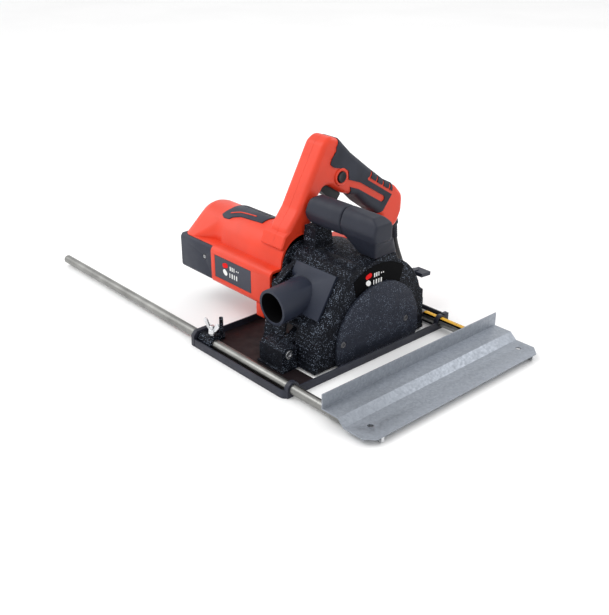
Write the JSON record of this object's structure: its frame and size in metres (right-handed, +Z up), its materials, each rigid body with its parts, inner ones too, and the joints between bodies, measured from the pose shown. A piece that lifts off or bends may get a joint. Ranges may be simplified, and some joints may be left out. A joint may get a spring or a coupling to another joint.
{
  "type": "wall chaser",
  "caption": "Twin-blade wall chaser: plunging motor unit in a blade hood on a pressed tray, with dust outlet, two handles and a sliding edge guide on rods.",
  "frame": {"origin": "middle of the base tray's sole", "axes": "+X along the motor axis towards the edge guide, +Y the way the cut travels, +Z up"},
  "size_m": [0.635, 0.3875, 0.24],
  "materials": {
    "steel_dark": "dark blue-grey painted pressed steel, satin",
    "casting": "black wrinkle paint on die casting",
    "cover_paint": "fine textured black paint",
    "label_black": "gloss label film",
    "zinc": "bright zinc plated",
    "port_plastic": "satin moulded plastic",
    "grip_plastic": "moulded plastic, fine grain",
    "steel_machined": "machined steel",
    "spring_steel": "spring wire",
    "red_plastic": "satin moulded plastic, red",
    "cap_plastic": "dark grey moulded plastic",
    "soft_rubber": "soft-touch overmould",
    "black_plastic": "black moulded plastic",
    "laminations": "stacked electrical steel",
    "copper": "copper and brass",
    "rod_steel": "drawn steel tube",
    "galvanised": "galvanised sheet, fine spangle",
    "tape": "yellow rule tape",
    "diamond": "steel blade with diamond rim",
    "cord_pvc": "black cable sheath"
  },
  "bodies": {
    "base": {"tray": "steel_dark", "hood": "casting", "blade_cover": "cover_paint", "cover_label": "label_black", "cover_screws": "zinc", "dust_port": "port_plastic", "aux_handle_left": "grip_plastic", "aux_handle_right": "grip_plastic", "aux_screws": "steel_machined", "hinge_block": "casting", "hinge_pin": "zinc", "rod_clamps": "casting", "depth_quadrant": "casting", "plunge_spring": "spring_steel", "cord_run": "cord_pvc", "cord_coil": "cord_pvc", "plug": "cord_pvc"},
    "motor_unit": {"motor_housing": "red_plastic", "rear_cap": "cap_plastic", "cap_screws": "zinc", "label_plate": "label_black", "vent_grille": "cap_plastic", "stator": "laminations", "brush_holders": "copper", "gear_case": "casting", "motor_bearings": "steel_machined", "spindle_bearing": "steel_machined", "handle_left": "red_plastic", "handle_right": "red_plastic", "grip_overmould": "soft_rubber", "handle_screws": "steel_machined", "switch_module": "black_plastic", "cord_guard": "soft_rubber", "spring_bolt": "steel_machined", "trigger_spring": "spring_steel"},
    "armature": {"motor_shaft": "steel_machined", "armature_core": "laminations", "commutator": "copper", "cooling_fan": "black_plastic", "pinion": "steel_machined"},
    "spindle": {"spindle_shaft": "steel_machined", "drive_gear": "steel_machined", "inner_flange": "steel_machined", "diamond_blades": "diamond", "blade_spacer": "steel_machined", "outer_flange": "steel_machined", "arbor_nut": "zinc"},
    "trigger": {"trigger": "black_plastic"},
    "lock_button": {"lock_button": "black_plastic"},
    "spindle_lock": {"spindle_lock": "black_plastic"},
    "guide": {"guide_rods": "rod_steel", "rod_saddles": "rod_steel", "guide_plate": "galvanised", "scale_tape": "tape", "roller_axles": "zinc"},
    "roller_front": {"roller_front": "steel_machined"},
    "roller_rear": {"roller_rear": "steel_machined"},
    "wing_screw_front": {"wing_screw_front": "zinc"},
    "wing_screw_rear": {"wing_screw_rear": "zinc"},
    "depth_lever": {"depth_lever": "cap_plastic"}
  },
  "joints": [
    {"name": "plunge", "type": "hinge", "parent": "base", "child": "motor_unit", "pos_m": [0, -0.092, 0.022], "axis": [1, 0, 0], "range_deg": [-12.5, 0], "stiffness_Nm_per_rad": 20, "springref_deg": 16.04, "deforming": ["plunge_spring", "cord_run"]},
    {"name": "motor_spin", "type": "hinge", "parent": "motor_unit", "child": "armature", "pos_m": [0, -0.012, 0.092], "axis": [1, 0, 0], "continuous": true},
    {"name": "spindle_spin", "type": "hinge", "parent": "motor_unit", "child": "spindle", "pos_m": [0, 0.01859, 0.059], "axis": [1, 0, 0], "continuous": true},
    {"name": "trigger_pull", "type": "hinge", "parent": "motor_unit", "child": "trigger", "pos_m": [0, 0.029, 0.181], "axis": [1, 0, 0], "range_deg": [0, 7], "stiffness_Nm_per_rad": 0.5, "springref_deg": -11.46, "deforming": ["trigger_spring"]},
    {"name": "lock_button_press", "type": "slide", "parent": "motor_unit", "child": "lock_button", "axis": [-1, 0, 0], "range_m": [0, 0.003], "stiffness_N_per_m": 300, "springref_m": -0.004},
    {"name": "spindle_lock_press", "type": "slide", "parent": "motor_unit", "child": "spindle_lock", "axis": [0, -1, 0], "range_m": [0, 0.003], "stiffness_N_per_m": 300, "springref_m": -0.004},
    {"name": "guide_slide", "type": "slide", "parent": "base", "child": "guide", "axis": [1, 0, 0], "range_m": [-0.05, 0.3]},
    {"name": "roller_front_spin", "type": "hinge", "parent": "guide", "child": "roller_front", "pos_m": [0.205, -0.118, 0.0033], "axis": [1, 0, 0], "continuous": true},
    {"name": "roller_rear_spin", "type": "hinge", "parent": "guide", "child": "roller_rear", "pos_m": [0.205, 0.14, 0.0033], "axis": [1, 0, 0], "continuous": true},
    {"name": "wing_screw_front_turn", "type": "hinge", "parent": "base", "child": "wing_screw_front", "pos_m": [-0.061, -0.125, 0.009], "axis": [0, 0, 1], "range_deg": [0, 90]},
    {"name": "wing_screw_rear_turn", "type": "hinge", "parent": "base", "child": "wing_screw_rear", "pos_m": [-0.061, 0.125, 0.009], "axis": [0, 0, 1], "range_deg": [0, 90]},
    {"name": "depth_lever_swing", "type": "hinge", "parent": "base", "child": "depth_lever", "pos_m": [0, 0.112, 0.058], "axis": [1, 0, 0], "range_deg": [0, 45]}
  ],
  "couplings": [
    {"joint": "spindle_spin", "follows": "motor_spin", "ratio": -0.5}
  ]
}
